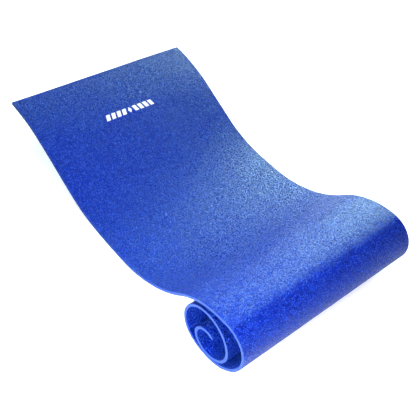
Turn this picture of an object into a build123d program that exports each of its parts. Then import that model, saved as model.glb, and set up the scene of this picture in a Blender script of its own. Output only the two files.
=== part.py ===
from build123d import *
import os
from math import cos, degrees, pi, radians, sin

# A roll-up foam exercise mat, half unrolled: one sheet whose free end stands a little off the
# floor, dips to the floor, climbs over a loose spiral roll and ends at the roll's core.
# The sheet is cut across its width into short rigid sections with a living hinge between
# neighbours, so that it can be bent flat.
# Frame: +X runs along the mat towards the roll, Y across its width, +Z up. The origin is on the
# floor, under the middle of the mat's bounding box. All sizes are in millimetres.

# ---- driving dimensions -------------------------------------------------------------------------
MAT_WIDTH = 600.0
THICKNESS = 8.0
SLIT = 0.3                  # width of the cut between neighbouring sections
FREE_END_HEADING = -3.0     # degrees above +X, at the free end, walking towards the roll

# Each stretch of the mat's middle line: name, length, turn in degrees (+ climbs, - curls under)
# and how many sections it is cut into. They are listed from the free end to the core.
STRETCHES = [
    ("free_end", 175.0, -20.0, 2),
    ("slope", 130.0, 0.0, 1),
    ("sweep", 170.0, 23.0, 2),
    ("floor", 70.0, 0.0, 1),
    ("rise", 280.0, 46.06, 4),
    ("crest", 170.0, -46.06, 3),
    ("roll_front", 130.0, -106.0, 4),
    ("roll_underside", 185.0, -94.0, 4),
    ("roll_back", 170.0, -143.0, 5),
    ("second_turn_top", 122.0, -88.0, 3),
    ("second_turn_front", 142.0, -141.5, 5),
    ("core", 106.0, -180.5, 6),
]

# The bend changes side where this stretch begins, so no cut is made there: its first section and
# the last one of the stretch before it are one piece.
UNCUT_BEFORE = "crest"

# The printed mark, a plain patch of ink in the middle of the width near the free end
MARK_STATION = 160.0        # its middle, measured along the mat from the free end
MARK_HEIGHT = 18.0          # along the mat
MARK_WIDTH = 176.0          # across the mat
MARK_THICKNESS = 0.3
MARK_CLEARANCE = 0.02       # keeps the ink's curved face off the foam's


# ---- the middle line ----------------------------------------------------------------------------
class Stretch:
    """One arc, or one straight run, of the mat's middle line."""

    def __init__(self, name, length, turn, pieces, start, heading):
        self.name = name
        self.length = length
        self.turn = radians(turn)
        self.pieces = pieces
        self.start = start
        self.heading = heading

    def heading_at(self, distance):
        return self.heading + self.turn * distance / self.length

    def point(self, distance, offset=0.0):
        """The point at a distance along the stretch, lifted off the middle line by an offset."""
        now = self.heading_at(distance)
        x, z = self.start
        if self.turn == 0.0:
            x += distance * cos(now)
            z += distance * sin(now)
        else:
            radius = self.length / self.turn
            x += radius * (sin(now) - sin(self.heading))
            z += radius * (cos(self.heading) - cos(now))
        return (x - offset * sin(now), z + offset * cos(now))


def middle_line():
    """Lay the stretches end to end."""
    stretches = []
    start = (0.0, 0.0)
    heading = radians(FREE_END_HEADING)
    for name, length, turn, pieces in STRETCHES:
        stretch = Stretch(name, length, turn, pieces, start, heading)
        stretches.append(stretch)
        start = stretch.point(length)
        heading = stretch.heading_at(length)
    return stretches


# ---- solids -------------------------------------------------------------------------------------
def slab(stretch, begin, end, low, high, width):
    """A solid between two distances along a stretch and two offsets from its middle line."""
    middle = (begin + end) / 2

    def edge(first, last, offset):
        ends = (stretch.point(first, offset), stretch.point(last, offset))
        if stretch.turn == 0.0:
            return Line(*ends)
        return ThreePointArc(ends[0], stretch.point(middle, offset), ends[1])

    outline = Wire([
        edge(begin, end, low),
        Line(stretch.point(end, low), stretch.point(end, high)),
        edge(end, begin, high),
        Line(stretch.point(begin, high), stretch.point(begin, low)),
    ])
    # Plane.XZ draws in X and Z and faces -Y, so the extrusion is made both ways from Y = 0
    return extrude(Plane.XZ * make_face(outline), width / 2, both=True)


def section_spans(stretches):
    """The named sections, each with the spans it covers: a stretch and two distances along it."""
    sections = {}
    latest = None
    for stretch in stretches:
        step = stretch.length / stretch.pieces
        spans = [(stretch, number * step, (number + 1) * step) for number in range(stretch.pieces)]
        if stretch.name == UNCUT_BEFORE:
            sections[latest].append(spans.pop(0))
        for number, span in enumerate(spans):
            latest = f"{stretch.name}_section" + (f"_{number + 1}" if len(spans) > 1 else "")
            sections[latest] = [span]
    return sections


def foam_section(spans, at_free_end, at_core_end):
    """One solid over its spans, with half a slit taken off each end that is cut."""
    solids = []
    for stretch, begin, end in spans:
        if stretch is spans[0][0] and not at_free_end:
            begin += SLIT / 2
        if stretch is spans[-1][0] and not at_core_end:
            end -= SLIT / 2
        solids.append(slab(stretch, begin, end, -THICKNESS / 2, THICKNESS / 2, MAT_WIDTH))
    return sum(solids[1:], solids[0])


def printed_mark(stretch):
    begin = MARK_STATION - MARK_HEIGHT / 2
    low = THICKNESS / 2 + MARK_CLEARANCE
    return slab(stretch, begin, begin + MARK_HEIGHT, low, low + MARK_THICKNESS, MARK_WIDTH)


# ---- hinge lines --------------------------------------------------------------------------------
def mean_heading(spans):
    """The mean direction of a section, which is level once the mat is flat."""
    total = sum(end - begin for _, begin, end in spans)
    parts = [stretch.heading_at((begin + end) / 2) * (end - begin) for stretch, begin, end in spans]
    return sum(parts) / total


def hinge_lines(sections):
    """Where neighbouring sections hinge: on the convex face, so that bending flat opens the slit.

    Each entry holds the section on either side, the hinge's X and Z, and the angle in degrees
    between the mean directions of the two sections.
    """
    lines = []
    for before, after in zip(list(sections), list(sections)[1:]):
        turn = mean_heading(sections[after]) - mean_heading(sections[before])
        face = -THICKNESS / 2 if turn > 0 else THICKNESS / 2
        stretch, place, _ = sections[after][0]
        lines.append((before, after, stretch.point(place, face), degrees(turn)))
    return lines


# ---- build --------------------------------------------------------------------------------------
mat_line = middle_line()
sections = section_spans(mat_line)
first_name, last_name = list(sections)[0], list(sections)[-1]
nodes = {
    name: foam_section(spans, name == first_name, name == last_name)
    for name, spans in sections.items()
}
nodes["printed_mark"] = printed_mark(mat_line[0])

box = Compound(list(nodes.values())).bounding_box()
to_frame = Pos(-box.center().X, -box.center().Y, -box.min.Z)

os.makedirs("parts", exist_ok=True)
for node_name, solid in nodes.items():
    export_step(to_frame * solid, f"parts/{node_name}.step")

print(f"mat length {sum(stretch.length for stretch in mat_line):.1f}")
print(f"box {box.size.X:.2f} x {box.size.Y:.2f} x {box.size.Z:.2f}")
for before, after, (x, z), turn in hinge_lines(sections):
    print(f"hinge {before} {after} {x - box.center().X:.4f} {z - box.min.Z:.4f} {turn:.4f}")
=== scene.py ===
import math

import bpy
import numpy as np
from mathutils import Matrix, Vector


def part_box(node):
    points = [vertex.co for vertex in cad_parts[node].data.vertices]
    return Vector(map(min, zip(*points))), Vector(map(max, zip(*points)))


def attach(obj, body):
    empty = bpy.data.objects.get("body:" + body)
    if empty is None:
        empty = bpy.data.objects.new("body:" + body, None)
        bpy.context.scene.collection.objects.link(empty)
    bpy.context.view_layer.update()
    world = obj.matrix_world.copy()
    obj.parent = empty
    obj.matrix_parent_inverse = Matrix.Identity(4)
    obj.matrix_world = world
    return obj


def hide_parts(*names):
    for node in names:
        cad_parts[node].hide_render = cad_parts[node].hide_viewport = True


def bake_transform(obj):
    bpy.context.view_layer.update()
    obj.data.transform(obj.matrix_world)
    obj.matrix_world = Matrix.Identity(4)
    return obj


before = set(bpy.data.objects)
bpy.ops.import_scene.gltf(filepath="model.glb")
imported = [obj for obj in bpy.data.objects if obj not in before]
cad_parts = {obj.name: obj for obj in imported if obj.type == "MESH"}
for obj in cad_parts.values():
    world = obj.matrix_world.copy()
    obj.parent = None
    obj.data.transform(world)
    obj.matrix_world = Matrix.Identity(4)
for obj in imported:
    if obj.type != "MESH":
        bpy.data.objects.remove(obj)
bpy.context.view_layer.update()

# A roll-up foam exercise mat, half unrolled. The sheet is one continuous surface, worked out over
# the whole mat first and then cut across its width into strips. Each strip reaches from the
# middle of one CAD section to the middle of the next.

# ---- sizes, in metres ---------------------------------------------------------------------------
MAT_WIDTH = 0.600
THICKNESS = 0.008
SLIT = 0.0003                   # the CAD sections' cuts, which the visible sheet doesn't have
EDGE_RADIUS = 0.0011            # how far the cut edges' corners are worn round
FREE_END_HEADING = -3.0         # degrees above +X

# The middle line's stretches as in the CAD source: name, length, turn in degrees and sections
STRETCHES = [
    ("free_end", 0.175, -20.0, 2),
    ("slope", 0.130, 0.0, 1),
    ("sweep", 0.170, 23.0, 2),
    ("floor", 0.070, 0.0, 1),
    ("rise", 0.280, 46.06, 4),
    ("crest", 0.170, -46.06, 3),
    ("roll_front", 0.130, -106.0, 4),
    ("roll_underside", 0.185, -94.0, 4),
    ("roll_back", 0.170, -143.0, 5),
    ("second_turn_top", 0.122, -88.0, 3),
    ("second_turn_front", 0.142, -141.5, 5),
    ("core", 0.106, -180.5, 6),
]
UNCUT_BEFORE = "crest"          # its first section is one piece with the section before it

# How far the sheet strays from its middle line where it lies free, and how uneven it is
LONG_WAVE = 0.0011
SHORT_WAVE = 0.0004
HUMP_RISE = 0.0034              # at the far edge of the hump before the roll
HUMP_DIP = 0.0016               # at its near edge
THICKNESS_SWELL = 0.00010
LONG_WANDER = 0.0004            # of the cut edges
SHORT_WANDER = 0.0002
WANDER_REACH = 0.030            # how far in from a cut edge its wander is felt

# The mesh's spacing
FINE_STEP = 0.0032              # along the mat, in the roll
FINE_LEAD = 0.080               # how far before the roll the fine spacing begins
COARSE_STEP = 0.0065            # along the mat, in the open part
WIDTH_STEP = 0.0125             # across the mat
CORNER_STEPS = 4
FIRST_ROLLED = "roll_front"

# The skin's pebbles
PEBBLES_PER_METRE = 450.0
PEBBLE_DOME = 1.1               # how round each pebble is
PEBBLE_LEAN = 3.2               # how far its top may tilt one way or another
# Pebble colours: the dark one is both a dark pebble and the painted shade at every pebble's rim;
# the pale one is both a pale pebble and a painted glint on its top.
DARK_PEBBLE_AND_RIM_SHADE = (0.0, 0.0, 0.31, 1.0)
MIDDLE_PEBBLE = (0.0, 0.010, 0.53, 1.0)
PALE_PEBBLE_AND_GLINT = (0.06, 0.14, 0.82, 1.0)
MIDDLE_SHADE = 0.55             # where the middle blue stands between the dark and the pale one
RIM_PAINTED_SHADE = 0.9             # how far the painted shade deepens from a pebble's top towards its rim
SKIN_ROUGHNESS = 0.50
SKIN_SPECULAR = 0.35
GLOSS_TINT = (0.2, 0.92, 0.70, 1.0)

# The printed mark
MARK_STATION = 0.160            # its middle, along the mat from the free end
MARK_HEIGHT = 0.018
MARK_LIFT = 0.00025             # how far the ink stands above the sheet
MARK_DEPTH = 0.0003             # how far it reaches into it
MARK_STEPS = 6                  # the mesh's steps each way over one patch
DIAMOND_SHAPE = 0.7             # the diamond's width for its height
DIAMOND_ROOM = 0.0115           # from the mark's middle to the first bar on either side
BAR_WIDTH = 0.0125
BAR_GAP = 0.0065
BAR_SLANT = 0.0050
BARS_PER_SIDE = 4


# ---- the middle line ----------------------------------------------------------------------------
class MiddleLine:
    """The mat's side profile as arcs and straight runs, laid end to end from the free end."""

    def __init__(self):
        self.starts = []
        self.runs = []
        station, x, z = 0.0, 0.0, 0.0
        heading = math.radians(FREE_END_HEADING)
        for name, length, turn, _ in STRETCHES:
            bend = math.radians(turn) / length
            self.starts.append(station)
            self.runs.append((name, station, length, bend, heading, x, z))
            x, z = self._along(length, bend, heading, x, z)
            heading += bend * length
            station += length
        self.length = station
        low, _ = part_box("floor_section")
        _, _, _, _, _, floor_x, floor_z = next(run for run in self.runs if run[0] == "floor")
        self.shift = (low.x - SLIT / 2 - floor_x, low.z + THICKNESS / 2 - floor_z)

    @staticmethod
    def _along(distance, bend, heading, x, z):
        now = heading + bend * distance
        if bend == 0.0:
            return x + distance * math.cos(now), z + distance * math.sin(now)
        return (
            x + (math.sin(now) - math.sin(heading)) / bend,
            z + (math.cos(heading) - math.cos(now)) / bend,
        )

    def start_of(self, name):
        return next(run[1] for run in self.runs if run[0] == name)

    def at(self, station):
        """X, Z and heading at a distance along the mat."""
        place = int(np.searchsorted(self.starts, station, side="right")) - 1
        _, start, _, bend, heading, x, z = self.runs[max(place, 0)]
        x, z = self._along(station - start, bend, heading, x, z)
        return x + self.shift[0], z + self.shift[1], heading + bend * (station - start)

    def point(self, station, offset=0.0):
        x, z, heading = self.at(station)
        return Vector((x - offset * math.sin(heading), 0.0, z + offset * math.cos(heading)))


def section_stations():
    """Each CAD section's name with the stations where it begins and ends, slits left out."""
    sections = []
    station = 0.0
    for name, length, _, pieces in STRETCHES:
        step = length / pieces
        ends = [station + step * (number + 1) for number in range(pieces)]
        if name == UNCUT_BEFORE:
            sections[-1][2] = ends.pop(0)
        for number, end in enumerate(ends):
            suffix = f"_{number + 1}" if len(ends) > 1 else ""
            sections.append([f"{name}_section{suffix}", sections[-1][2] if sections else 0.0, end])
        station += length
    return sections


LINE = MiddleLine()
SECTIONS = section_stations()


# ---- the sheet's soft unevenness ----------------------------------------------------------------
def ramp(value, low, high):
    """0 below low, 1 above high, smooth between them."""
    t = min(max((value - low) / (high - low), 0.0), 1.0)
    return t * t * (3.0 - 2.0 * t)


def slack(station):
    """How free the sheet is to wave: held where it lies on the floor, and tight in the roll."""
    floor_start = LINE.start_of("floor")
    rise_start = LINE.start_of("rise")
    roll_start = LINE.start_of(FIRST_ROLLED)
    open_end = 1.0 - ramp(station, floor_start - 0.110, floor_start - 0.010)
    hump = ramp(station, rise_start + 0.020, rise_start + 0.160)
    hump *= 1.0 - ramp(station, roll_start - 0.060, roll_start + 0.080)
    return open_end + hump


def twist(station, y):
    """The hump before the roll stands a little higher at the far edge than at the near one."""
    hump = ramp(station, 0.52, 0.68) * (1.0 - ramp(station, 0.84, 1.06))
    return hump * (HUMP_RISE * ramp(y, -0.05, 0.30) - HUMP_DIP * ramp(-y, 0.05, 0.30))


def wave(station, y):
    """How far the whole sheet stands off its middle line, in metres."""
    long_wave = math.sin(9.3 * station + 4.1 * y + 0.6) * math.sin(5.2 * y + 3.7 * station + 1.1)
    short_wave = math.sin(23.0 * station - 11.0 * y) * math.sin(17.0 * y + 8.0 * station + 2.0)
    loose = LONG_WAVE * long_wave + SHORT_WAVE * short_wave
    return slack(station) * loose + twist(station, y)


def swell(station, y):
    """How much thicker the foam is at one place than at another, in metres."""
    uneven = math.sin(61.0 * station + 13.0 * y) * math.sin(47.0 * y - 19.0 * station + 0.7)
    return THICKNESS_SWELL * uneven


def edge_wander(station, side):
    """The knife didn't run quite true: how far each long edge stands out, in metres."""
    if side > 0:
        slow, quick = math.sin(13.0 * station + 0.4), math.sin(47.0 * station + 1.0)
    else:
        slow, quick = math.sin(11.0 * station + 2.1), math.sin(53.0 * station)
    return LONG_WANDER * slow + SHORT_WANDER * quick


# ---- the sheet's surface ------------------------------------------------------------------------
def cross_section():
    """The sheet's outline across its width, as points Y, offset and outward direction.

    It starts at the top of the -Y edge, runs over the top to the +Y edge, down its side and back
    underneath. Each entry also says what it belongs to: top, side or bottom.
    """
    half_width = MAT_WIDTH / 2 - EDGE_RADIUS
    half_height = THICKNESS / 2 - EDGE_RADIUS
    across = np.linspace(-half_width, half_width, int(round(MAT_WIDTH / WIDTH_STEP)) + 1)
    ring = [(y, half_height, 0.0, 1.0, "top") for y in across]
    corner = [math.radians(90.0 * step / CORNER_STEPS) for step in range(1, CORNER_STEPS + 1)]
    for angle in corner:
        ring.append((half_width, half_height, math.sin(angle), math.cos(angle), "side"))
    ring.append((half_width, 0.0, 1.0, 0.0, "side"))
    for angle in [0.0] + corner[:-1]:
        ring.append((half_width, -half_height, math.cos(angle), -math.sin(angle), "side"))
    ring += [(y, -half_height, 0.0, -1.0, "bottom") for y in across[::-1]]
    for angle in corner:
        ring.append((-half_width, -half_height, -math.sin(angle), -math.cos(angle), "side"))
    ring.append((-half_width, 0.0, -1.0, 0.0, "side"))
    for angle in [0.0] + corner[:-1]:
        ring.append((-half_width, half_height, -math.cos(angle), math.sin(angle), "side"))
    return ring


RING = cross_section()
TOP_COUNT = sum(1 for entry in RING if entry[4] == "top")
SIDE_COUNT = (len(RING) - 2 * TOP_COUNT) // 2


def surface_point(station, entry, inset=0.0):
    """One point of the sheet's skin, drawn in by an inset where an end is rounded off."""
    y, offset, out_y, out_offset, _ = entry
    side = 1.0 if y > 0 else -1.0
    near_edge = ramp(abs(y), MAT_WIDTH / 2 - WANDER_REACH, MAT_WIDTH / 2)
    reach = EDGE_RADIUS - inset
    thicker = swell(station, y) * out_offset
    y_now = y + out_y * reach + side * near_edge * edge_wander(station, side)
    offset_now = offset + out_offset * reach + thicker + wave(station, y)
    x, z, heading = LINE.at(station)
    return (x - offset_now * math.sin(heading), y_now, z + offset_now * math.cos(heading))


def columns():
    """Stations of the mesh's columns, with each one's inset, so that both ends are rounded off.

    A column stands at the middle of every section, where two strips meet.
    """
    middles = [(begin + end) / 2 for _, begin, end in SECTIONS]
    stops = [EDGE_RADIUS] + middles + [LINE.length - EDGE_RADIUS]
    found = []
    for step in range(CORNER_STEPS):
        angle = math.radians(90.0 * step / CORNER_STEPS)
        inset = EDGE_RADIUS * (1.0 - math.sin(angle))
        found.append((EDGE_RADIUS * (1.0 - math.cos(angle)), inset))
    roll_start = LINE.start_of(FIRST_ROLLED)
    for low, high in zip(stops, stops[1:]):
        spacing = FINE_STEP if high > roll_start - FINE_LEAD else COARSE_STEP
        count = max(2, int(math.ceil((high - low) / spacing)))
        found += [(low + (high - low) * step / count, 0.0) for step in range(count)]
    tail = [(LINE.length - station, inset) for station, inset in found[:CORNER_STEPS]]
    found.append((LINE.length - EDGE_RADIUS, 0.0))
    return found + tail[::-1], middles


COLUMNS, MIDDLES = columns()
POINTS = np.array([[surface_point(s, entry, inset) for entry in RING] for s, inset in COLUMNS])


def grid_normals(points):
    """Smooth outward normals over the whole sheet, so that strips shade as one surface."""
    along = np.gradient(points, axis=0)
    around = np.roll(points, -1, axis=1) - np.roll(points, 1, axis=1)
    normals = np.cross(along, around)
    return normals / np.linalg.norm(normals, axis=2, keepdims=True)


NORMALS = grid_normals(POINTS)


def ring_lengths():
    """How far round the sheet each ring point lies from the first one, in metres."""
    flat = []
    for y, offset, out_y, out_offset, _ in RING:
        flat.append((y + out_y * EDGE_RADIUS, offset + out_offset * EDGE_RADIUS))
    steps = [math.dist(a, b) for a, b in zip(flat, flat[1:] + flat[:1])]
    return np.concatenate([[0.0], np.cumsum(steps)])


ROUND = ring_lengths()
SKIN, CUT = 0, 1


def build_strip(name, first, last, materials):
    """A closed strip of the sheet between two columns, with UVs in metres along and around."""
    size = len(RING)
    vertices = POINTS[first:last + 1].reshape(-1, 3)
    faces, kinds, normals, uvs = [], [], [], []

    def add(corners, kind, corner_normals, corner_uvs):
        faces.append(corners)
        kinds.append(kind)
        normals.extend(corner_normals)
        uvs.extend(corner_uvs)

    for column in range(first, last):
        row = (column - first) * size
        s_here, s_next = COLUMNS[column][0], COLUMNS[column + 1][0]
        for place in range(size):
            after = (place + 1) % size
            kind = SKIN if RING[place][4] == RING[after][4] != "side" else CUT
            add(
                (row + place, row + after, row + size + after, row + size + place)[::-1],
                kind,
                [NORMALS[column + 1, place], NORMALS[column + 1, after],
                 NORMALS[column, after], NORMALS[column, place]],
                [(s_next, ROUND[place]), (s_next, ROUND[place + 1]),
                 (s_here, ROUND[place + 1]), (s_here, ROUND[place])],
            )
    for column, outward in ((first, -1.0), (last, 1.0)):
        row = (column - first) * size
        _, _, heading = LINE.at(COLUMNS[column][0])
        normal = (outward * math.cos(heading), 0.0, outward * math.sin(heading))
        under = row + 2 * TOP_COUNT + SIDE_COUNT - 1
        across = [(row + k, row + k + 1, under - 1 - k, under - k) for k in range(TOP_COUNT - 1)]
        right = tuple(range(row + TOP_COUNT - 1, row + TOP_COUNT + SIDE_COUNT + 1))
        left = tuple(range(under, row + size)) + (row,)
        for corners in across + [right, left]:
            if outward > 0:
                corners = corners[::-1]
            spots = [RING[corner - row] for corner in corners]
            add(corners, CUT, [normal] * len(corners),
                [(COLUMNS[column][0] + spot[1] + spot[3] * EDGE_RADIUS, spot[0]) for spot in spots])

    mesh = bpy.data.meshes.new(name)
    mesh.from_pydata(vertices.tolist(), [], faces)
    mesh.polygons.foreach_set("material_index", kinds)
    mesh.polygons.foreach_set("use_smooth", [True] * len(faces))
    layer = mesh.uv_layers.new(name="sheet")
    layer.data.foreach_set("uv", np.array(uvs, np.float32).ravel())
    for material in materials:
        mesh.materials.append(material)
    mesh.normals_split_custom_set([tuple(map(float, normal)) for normal in normals])
    mesh.validate()
    mesh.update()
    piece = bpy.data.objects.new(name, mesh)
    bpy.context.scene.collection.objects.link(piece)
    return piece


# ---- materials ----------------------------------------------------------------------------------
class Nodes:
    """A short way to build a material's node tree."""

    def __init__(self, name):
        self.material = bpy.data.materials.new(name)
        self.material.use_nodes = True
        self.tree = self.material.node_tree
        self.tree.nodes.clear()

    def add(self, kind, inputs=None, **settings):
        node = self.tree.nodes.new(kind)
        for key, value in settings.items():
            setattr(node, key, value)
        for key, value in (inputs or {}).items():
            if isinstance(value, bpy.types.NodeSocket):
                self.tree.links.new(value, node.inputs[key])
            else:
                node.inputs[key].default_value = value
        return node


def foam_skin():
    """Blue foam with a pebbled skin: each pebble is a low dome with its own lean and random tone,
    painted shade at its rim and painted glint on the palest tops.
    """
    n = Nodes("foam_skin")
    uv = n.add("ShaderNodeUVMap", uv_map="sheet").outputs["UV"]
    pebbles = n.add("ShaderNodeTexVoronoi", {"Vector": uv, "Scale": PEBBLES_PER_METRE},
                    feature="F1", voronoi_dimensions="2D")
    lot = n.add("ShaderNodeSeparateColor", {"Color": pebbles.outputs["Color"]}).outputs["Blue"]
    dome = n.add("ShaderNodeMath", {0: pebbles.outputs["Distance"], 1: 2.0},
                 operation="POWER").outputs[0]
    away = n.add("ShaderNodeVectorMath", {0: uv, 1: pebbles.outputs["Position"]},
                 operation="SUBTRACT").outputs[0]
    way = n.add("ShaderNodeVectorMath", {0: pebbles.outputs["Color"], 1: (0.5, 0.5, 0.0)},
                operation="SUBTRACT").outputs[0]
    lean = n.add("ShaderNodeVectorMath", {0: way, 1: away},
                 operation="DOT_PRODUCT").outputs["Value"]
    height = n.add("ShaderNodeMath", {0: dome, 1: -PEBBLE_DOME / PEBBLES_PER_METRE},
                   operation="MULTIPLY").outputs[0]
    height = n.add("ShaderNodeMath", {0: lean, 1: PEBBLE_LEAN, 2: height},
                   operation="MULTIPLY_ADD").outputs[0]
    bump = n.add("ShaderNodeBump", {"Height": height, "Strength": 1.0, "Distance": 1.0})
    # Painted shade and highlight: the colour darkens from each pebble's top towards its rim, and
    # the palest tops are partly painted glints.
    shade = n.add("ShaderNodeMath", {0: dome, 1: -RIM_PAINTED_SHADE, 2: lot},
                  operation="MULTIPLY_ADD").outputs[0]
    colour = n.add("ShaderNodeValToRGB", {"Fac": shade})
    dark, pale = colour.color_ramp.elements
    dark.color = DARK_PEBBLE_AND_RIM_SHADE
    pale.color = PALE_PEBBLE_AND_GLINT
    colour.color_ramp.elements.new(MIDDLE_SHADE).color = MIDDLE_PEBBLE
    shader = n.add("ShaderNodeBsdfPrincipled", {
        "Base Color": colour.outputs["Color"], "Roughness": SKIN_ROUGHNESS,
        "Normal": bump.outputs["Normal"],
        "Specular IOR Level": SKIN_SPECULAR, "Specular Tint": GLOSS_TINT,
    })
    n.add("ShaderNodeOutputMaterial", {"Surface": shader.outputs[0]})
    return n.material


def cut_foam():
    """A cut face of the foam: smoother and paler than the skin, with fine cells."""
    n = Nodes("cut_foam")
    uv = n.add("ShaderNodeUVMap", uv_map="sheet").outputs["UV"]
    cells = n.add("ShaderNodeTexNoise", {"Vector": uv, "Scale": 900.0, "Detail": 2.0})
    bump = n.add("ShaderNodeBump", {"Height": cells.outputs["Fac"], "Strength": 0.35,
                                    "Distance": 0.0004})
    shade = n.add("ShaderNodeValToRGB", {"Fac": cells.outputs["Fac"]})
    shade.color_ramp.elements[0].position = 0.3
    shade.color_ramp.elements[0].color = (0.006, 0.026, 0.180, 1.0)
    shade.color_ramp.elements[1].position = 0.7
    shade.color_ramp.elements[1].color = (0.014, 0.044, 0.260, 1.0)
    shader = n.add("ShaderNodeBsdfPrincipled", {
        "Base Color": shade.outputs["Color"], "Roughness": 0.8, "Normal": bump.outputs["Normal"],
        "Specular IOR Level": 0.35,
    })
    n.add("ShaderNodeOutputMaterial", {"Surface": shader.outputs[0]})
    return n.material


def white_ink():
    """White ink, a little greyer in places."""
    n = Nodes("white_ink")
    uv = n.add("ShaderNodeUVMap", uv_map="sheet").outputs["UV"]
    wear = n.add("ShaderNodeTexNoise", {"Vector": uv, "Scale": 420.0, "Detail": 3.0})
    bump = n.add("ShaderNodeBump", {"Height": wear.outputs["Fac"], "Strength": 0.3,
                                    "Distance": 0.0004})
    shade = n.add("ShaderNodeValToRGB", {"Fac": wear.outputs["Fac"]})
    shade.color_ramp.elements[0].color = (0.70, 0.76, 0.88, 1.0)
    shade.color_ramp.elements[1].position = 0.55
    shade.color_ramp.elements[1].color = (0.92, 0.94, 0.97, 1.0)
    shader = n.add("ShaderNodeBsdfPrincipled", {
        "Base Color": shade.outputs["Color"], "Roughness": 0.5, "Normal": bump.outputs["Normal"],
    })
    n.add("ShaderNodeOutputMaterial", {"Surface": shader.outputs[0]})
    return n.material


def glowing_floor_paint():
    """White paint with a painted glow, a little near the mat and more far from it, so that it stays
    pale and the mat's shadow on it is thinned.
    """
    n = Nodes("glowing_floor_paint")
    place = n.add("ShaderNodeTexCoord").outputs["Object"]
    far = n.add("ShaderNodeVectorMath", {0: place}, operation="LENGTH").outputs["Value"]
    # Painted light: the floor's own glow, from 0.60 near the mat to 0.88 far off.
    glow = n.add("ShaderNodeMapRange", {"Value": far, "From Min": 0.6, "From Max": 2.4,
                                        "To Min": 0.60, "To Max": 0.88}).outputs["Result"]
    mottle = n.add("ShaderNodeTexNoise", {"Vector": place, "Scale": 3.0})
    shade = n.add("ShaderNodeValToRGB", {"Fac": mottle.outputs["Fac"]})
    shade.color_ramp.elements[0].color = (0.90, 0.90, 0.90, 1.0)
    shade.color_ramp.elements[1].color = (0.92, 0.92, 0.92, 1.0)
    shader = n.add("ShaderNodeBsdfPrincipled", {
        "Base Color": shade.outputs["Color"], "Roughness": 0.9, "Specular IOR Level": 0.1,
        "Emission Color": (1.0, 0.98, 0.98, 1.0), "Emission Strength": glow,
    })
    n.add("ShaderNodeOutputMaterial", {"Surface": shader.outputs[0]})
    return n.material


# ---- the strips ---------------------------------------------------------------------------------
def column_at(station):
    """The number of the mesh column nearest to a station."""
    stations = [s for s, _ in COLUMNS]
    return int(np.argmin(np.abs(np.array(stations) - station)))


def build_sheet():
    """All the strips. The outermost two ride on one section each; the others stay where they are
    built.
    """
    materials = [foam_skin(), cut_foam()]
    names = [name for name, _, _ in SECTIONS]
    cuts = [0] + [column_at(middle) for middle in MIDDLES] + [len(COLUMNS) - 1]
    for place in range(len(names) + 1):
        if place == 0:
            piece = build_strip("strip_free_end", cuts[0], cuts[1], materials)
            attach(piece, names[0])
            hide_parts(names[0])
        elif place == len(names):
            piece = build_strip("strip_core_end", cuts[-2], cuts[-1], materials)
            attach(piece, names[-1])
        else:
            before, after = names[place - 1], names[place]
            title = after.replace("_section", "")
            piece = build_strip(f"strip_{title}", cuts[place], cuts[place + 1], materials)
            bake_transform(piece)
            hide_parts(after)


build_sheet()


# ---- the printed mark ---------------------------------------------------------------------------
def mark_shapes():
    """Outlines of the mark's patches as four corners: along the mat, across the mat."""
    half = MARK_HEIGHT / 2
    wide = half * DIAMOND_SHAPE
    shapes = [[(-half, 0.0), (0.0, -wide), (half, 0.0), (0.0, wide)]]
    for side in (-1.0, 1.0):
        for number in range(BARS_PER_SIDE):
            near = DIAMOND_ROOM + number * (BAR_WIDTH + BAR_GAP)
            far = near + BAR_WIDTH
            shapes.append([
                (-half, side * near), (-half, side * far),
                (half, side * (far + BAR_SLANT)), (half, side * (near + BAR_SLANT)),
            ])
    return shapes


def corners_turn(corners):
    """Twice the signed area of a patch, along by across."""
    total = 0.0
    for (a, b), (c, d) in zip(corners, corners[1:] + corners[:1]):
        total += a * d - c * b
    return total


def build_mark():
    """Ink patches that follow the sheet's surface, each a thin closed slab."""
    steps = MARK_STEPS
    vertices, faces, uvs = [], [], []
    for corners in mark_shapes():
        a, b, c, d = (np.array(corner) for corner in corners)
        base = len(vertices)
        for lift in (MARK_LIFT, -MARK_DEPTH):
            for i in range(steps + 1):
                for j in range(steps + 1):
                    u, v = i / steps, j / steps
                    along, across = (a * (1 - u) + d * u) * (1 - v) + (b * (1 - u) + c * u) * v
                    station = MARK_STATION + along
                    off = THICKNESS / 2 + swell(station, across) + wave(station, across) + lift
                    place = LINE.point(station, off)
                    vertices.append((place.x, across, place.z))
        size = steps + 1
        count = size * size
        clockwise = corners_turn(corners) > 0
        flat = []
        for i in range(steps):
            for j in range(steps):
                spot = base + i * size + j
                above = (spot, spot + 1, spot + size + 1, spot + size)
                below = (spot, spot + size, spot + size + 1, spot + 1)
                flat.append(above)
                flat.append(tuple(corner + count for corner in below))
        rim = [base + j for j in range(size)]
        rim += [base + i * size + steps for i in range(1, size)]
        rim += [base + steps * size + j for j in range(steps - 1, -1, -1)]
        rim += [base + i * size for i in range(steps - 1, 0, -1)]
        for p, q in zip(rim, rim[1:] + rim[:1]):
            flat.append((p, p + count, q + count, q))
        faces += [face if clockwise else face[::-1] for face in flat]
    for face in faces:
        for corner in face:
            uvs.append((vertices[corner][0], vertices[corner][1]))
    mesh = bpy.data.meshes.new("printed_mark_ink")
    mesh.from_pydata(vertices, [], faces)
    layer = mesh.uv_layers.new(name="sheet")
    layer.data.foreach_set("uv", np.array(uvs, np.float32).ravel())
    mesh.materials.append(white_ink())
    mesh.validate()
    mesh.update()
    piece = bpy.data.objects.new("printed_mark_ink", mesh)
    bpy.context.scene.collection.objects.link(piece)
    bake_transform(piece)
    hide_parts("printed_mark")
    return piece


build_mark()


# ---- floor, light and camera --------------------------------------------------------------------
FLOOR_REACH = 12.0
FLOOR_DROP = 0.0002             # keeps the floor's face off the mat's


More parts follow.
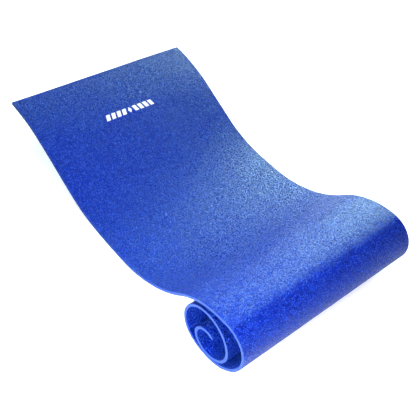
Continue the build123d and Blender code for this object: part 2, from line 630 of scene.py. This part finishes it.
def build_floor():
    mesh = bpy.data.meshes.new("floor")
    reach = FLOOR_REACH
    mesh.from_pydata([(-reach, -reach, 0.0), (reach, -reach, 0.0), (reach, reach, 0.0),
                      (-reach, reach, 0.0)], [], [(0, 1, 2, 3)])
    mesh.materials.append(glowing_floor_paint())
    piece = bpy.data.objects.new("floor", mesh)
    piece.location.z = -FLOOR_DROP
    bpy.context.scene.collection.objects.link(piece)


COOL = (0.69, 1.0, 0.87)
SKY = (0.70, 0.95, 1.0)
PALE_SKY = (0.80, 0.97, 1.0)
WHITE = (1.0, 1.0, 1.0)

# Name, place, what it points at, the side of its square panel in metres, watts and colour
LIGHTS = [
    ("back", (-1.39, 2.58, 0.36), (0.10, 0.0, 0.05), 0.90, 178.0, COOL),
    ("high_back", (-0.51, 0.76, 1.00), (0.25, 0.0, 0.10), 0.45, 7.0, SKY),
    ("top", (0.50, -0.30, 0.90), (0.30, -0.10, 0.08), 0.36, 10.8, WHITE),
    ("right", (2.03, 0.0, 2.35), (0.10, 0.0, 0.05), 0.90, 14.0, WHITE),
    ("front_low", (0.38, -0.80, 0.20), (0.30, -0.20, 0.08), 0.36, 7.5, PALE_SKY),
    ("front_right", (0.66, -0.86, 0.34), (0.30, -0.20, 0.08), 0.24, 6.4, PALE_SKY),
    ("left_top", (-0.60, -0.25, 0.50), (-0.45, 0.0, 0.12), 0.24, 0.85, WHITE),
]


def place_lights():
    for name, place, aim, side, power, colour in LIGHTS:
        light = bpy.data.lights.new(name, "AREA")
        light.size = side
        light.energy = power
        light.color = colour
        piece = bpy.data.objects.new(name, light)
        piece.location = place
        piece.rotation_mode = "QUATERNION"
        piece.rotation_quaternion = (Vector(aim) - Vector(place)).to_track_quat("-Z", "Y")
        bpy.context.scene.collection.objects.link(piece)


def set_world():
    """A pale world that the camera sees above the floor, and that gives no light."""
    world = bpy.data.worlds.new("studio")
    world.use_nodes = True
    nodes, links = world.node_tree.nodes, world.node_tree.links
    seen = nodes.new("ShaderNodeLightPath").outputs["Is Camera Ray"]
    nodes["Background"].inputs["Color"].default_value = (0.93, 0.92, 0.92, 1.0)
    links.new(seen, nodes["Background"].inputs["Strength"])
    bpy.context.scene.world = world


CAMERA_PLACE = (0.8955, -1.0038, 1.3953)
CAMERA_FORWARD = (-0.44491, 0.52859, -0.72294)
CAMERA_ROLL = 13.35             # degrees
CAMERA_LENS = 57.81


def place_camera():
    camera = bpy.data.cameras.new("camera")
    camera.sensor_width = 36.0
    camera.lens = CAMERA_LENS
    piece = bpy.data.objects.new("camera", camera)
    forward = Vector(CAMERA_FORWARD).normalized()
    level = forward.cross(Vector((0.0, 0.0, 1.0))).normalized()
    lean = math.radians(CAMERA_ROLL)
    right = (Matrix.Rotation(lean, 3, -forward) @ level).normalized()
    up = right.cross(forward)
    turn = Matrix((right, up, -forward)).transposed()
    piece.matrix_world = Matrix.Translation(CAMERA_PLACE) @ turn.to_4x4()
    bpy.context.scene.collection.objects.link(piece)
    bpy.context.scene.camera = piece


build_floor()
place_lights()
set_world()
place_camera()
bpy.context.scene.view_settings.view_transform = "Standard"
